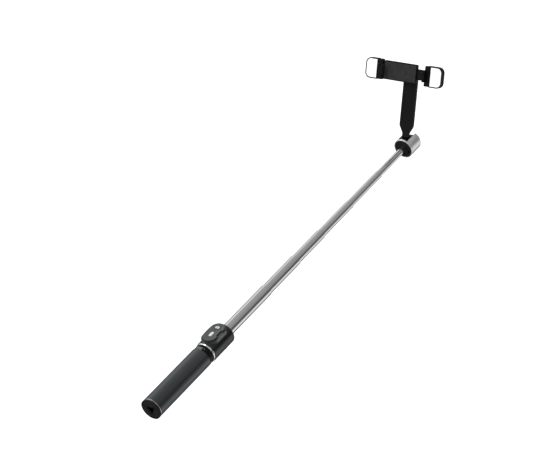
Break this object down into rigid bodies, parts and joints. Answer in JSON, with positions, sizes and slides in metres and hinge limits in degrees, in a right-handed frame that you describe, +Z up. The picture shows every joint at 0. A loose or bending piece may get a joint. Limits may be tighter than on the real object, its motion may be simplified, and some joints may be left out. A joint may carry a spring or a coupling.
{
  "type": "selfie stick",
  "caption": "Telescopic hand stick whose grip splits into legs, with a pull-out remote, steel tubes, an end cap, a tilting arm and a spring phone clamp with fold-back lights.",
  "frame": {"origin": "on the pole's axis, in the middle of the folded grip, where the hand holds it", "axes": "+Z up the pole from the feet to the end cap, -Y the side of the remote and of the phone clamp, X along the clamp's jaws and parallel to the arm's tilt pin"},
  "size_m": [0.1312, 0.1346, 0.6851],
  "materials": {
    "graphite_metal": "satin graphite anodised",
    "foot_rubber": "matte",
    "steel": "polished stainless",
    "black_plastic": "satin black",
    "gloss_black": "glossy black",
    "chrome_ring": "polished",
    "remote_plastic": "satin dark grey",
    "white_plastic": "satin white",
    "circuit_board": "solder mask",
    "silver_metal": "satin silver anodised",
    "pale_plastic": "acetal",
    "grip_rubber": "ribbed rubber",
    "light_diffuser": "translucent white"
  },
  "bodies": {
    "base": {"leg_hub": "black_plastic", "hub_ring": "chrome_ring", "leg_pin_1": "steel", "leg_pin_2": "steel", "leg_pin_3": "steel", "block_front_shell": "gloss_black", "block_rear_shell": "gloss_black", "block_screw_left": "steel", "block_screw_right": "steel", "guide_ring": "black_plastic", "pole_sleeve": "steel"},
    "leg_1": {"leg_1": "graphite_metal", "foot_1": "foot_rubber"},
    "leg_2": {"leg_2": "graphite_metal", "foot_2": "foot_rubber"},
    "leg_3": {"leg_3": "graphite_metal", "foot_3": "foot_rubber"},
    "remote": {"remote_tray": "remote_plastic", "remote_face": "remote_plastic", "remote_cell": "steel", "remote_board": "circuit_board"},
    "shutter_button": {"shutter_button": "remote_plastic"},
    "mode_button": {"mode_button": "white_plastic"},
    "tube_1": {"tube_1": "steel", "tube_bush_1": "pale_plastic"},
    "tube_2": {"tube_2": "steel", "tube_bush_2": "pale_plastic"},
    "tube_3": {"tube_3": "steel", "tube_bush_3": "pale_plastic"},
    "tube_4": {"tube_4": "steel", "tube_bush_4": "pale_plastic"},
    "tube_5": {"tube_5": "steel", "tube_bush_5": "pale_plastic"},
    "tube_6_and_cap": {"tube_6": "steel", "tube_bush_6": "pale_plastic", "cap_shell": "silver_metal", "cap_core": "black_plastic", "tilt_pin": "steel", "tilt_washer_left": "pale_plastic", "tilt_washer_right": "pale_plastic"},
    "arm": {"arm": "black_plastic", "swivel_washer": "pale_plastic"},
    "clamp": {"clamp_body": "black_plastic", "clamp_cover": "grip_rubber", "clamp_spring": "steel", "swivel_bolt": "steel", "jaw_left": "black_plastic", "jaw_pad_left": "grip_rubber", "light_pin_left": "steel"},
    "jaw_right": {"jaw_right": "black_plastic", "jaw_pad_right": "grip_rubber", "light_pin_right": "steel"},
    "light_left": {"light_housing_left": "black_plastic", "light_board_left": "circuit_board", "light_diffuser_left": "light_diffuser"},
    "light_button_left": {"light_button_left": "black_plastic"},
    "light_right": {"light_housing_right": "black_plastic", "light_board_right": "circuit_board", "light_diffuser_right": "light_diffuser"},
    "light_button_right": {"light_button_right": "black_plastic"}
  },
  "joints": [
    {"name": "leg_1_fold", "type": "hinge", "parent": "base", "child": "leg_1", "pos_m": [0, -0.0122, 0.05875], "axis": [-1, 0, 0], "range_deg": [0, 45]},
    {"name": "leg_2_fold", "type": "hinge", "parent": "base", "child": "leg_2", "pos_m": [0.01057, 0.0061, 0.05875], "axis": [0.5, -0.866, 0], "range_deg": [0, 45]},
    {"name": "leg_3_fold", "type": "hinge", "parent": "base", "child": "leg_3", "pos_m": [-0.01057, 0.0061, 0.05875], "axis": [0.5, 0.866, 0], "range_deg": [0, 45]},
    {"name": "remote_pull", "type": "slide", "parent": "base", "child": "remote", "axis": [0, -1, 0], "range_m": [0, 0.04]},
    {"name": "shutter_press", "type": "slide", "parent": "remote", "child": "shutter_button", "axis": [0, 1, 0], "range_m": [0, 0.0005], "stiffness_N_per_m": 400},
    {"name": "mode_press", "type": "slide", "parent": "remote", "child": "mode_button", "axis": [0, 1, 0], "range_m": [0, 0.0005], "stiffness_N_per_m": 400},
    {"name": "tube_1_draw", "type": "slide", "parent": "base", "child": "tube_1", "axis": [0, 0, 1], "range_m": [-0.0957, 0]},
    {"name": "tube_2_draw", "type": "slide", "parent": "tube_1", "child": "tube_2", "axis": [0, 0, 1], "range_m": [-0.0717, 0.024]},
    {"name": "tube_3_draw", "type": "slide", "parent": "tube_2", "child": "tube_3", "axis": [0, 0, 1], "range_m": [-0.0637, 0.032]},
    {"name": "tube_4_draw", "type": "slide", "parent": "tube_3", "child": "tube_4", "axis": [0, 0, 1], "range_m": [-0.0767, 0.019]},
    {"name": "tube_5_draw", "type": "slide", "parent": "tube_4", "child": "tube_5", "axis": [0, 0, 1], "range_m": [-0.0797, 0.016]},
    {"name": "tube_6_draw", "type": "slide", "parent": "tube_5", "child": "tube_6_and_cap", "axis": [0, 0, 1], "range_m": [-0.0687, 0.027]},
    {"name": "arm_tilt", "type": "hinge", "parent": "tube_6_and_cap", "child": "arm", "pos_m": [0, -0.0075, 0.58135], "axis": [1, 0, 0], "range_deg": [-63, 37]},
    {"name": "clamp_swivel", "type": "hinge", "parent": "arm", "child": "clamp", "pos_m": [0, -0.10416, 0.61411], "axis": [0, -0.454, -0.891], "range_deg": [-180, 180]},
    {"name": "jaw_slide", "type": "slide", "parent": "clamp", "child": "jaw_right", "axis": [1, 0, 0], "range_m": [-0.014, 0.016], "deforming": ["clamp_spring"]},
    {"name": "light_left_fold", "type": "hinge", "parent": "clamp", "child": "light_left", "pos_m": [-0.0484, -0.10162, 0.61909], "axis": [0, 0.891, -0.454], "range_deg": [0, 160]},
    {"name": "light_left_press", "type": "slide", "parent": "light_left", "child": "light_button_left", "axis": [0, 0.891, -0.454], "range_m": [0, 0.0004], "stiffness_N_per_m": 400},
    {"name": "light_right_fold", "type": "hinge", "parent": "jaw_right", "child": "light_right", "pos_m": [0.034, -0.10162, 0.61909], "axis": [0, -0.891, 0.454], "range_deg": [0, 160]},
    {"name": "light_right_press", "type": "slide", "parent": "light_right", "child": "light_button_right", "axis": [0, -0.891, 0.454], "range_m": [0, 0.0004], "stiffness_N_per_m": 400}
  ]
}
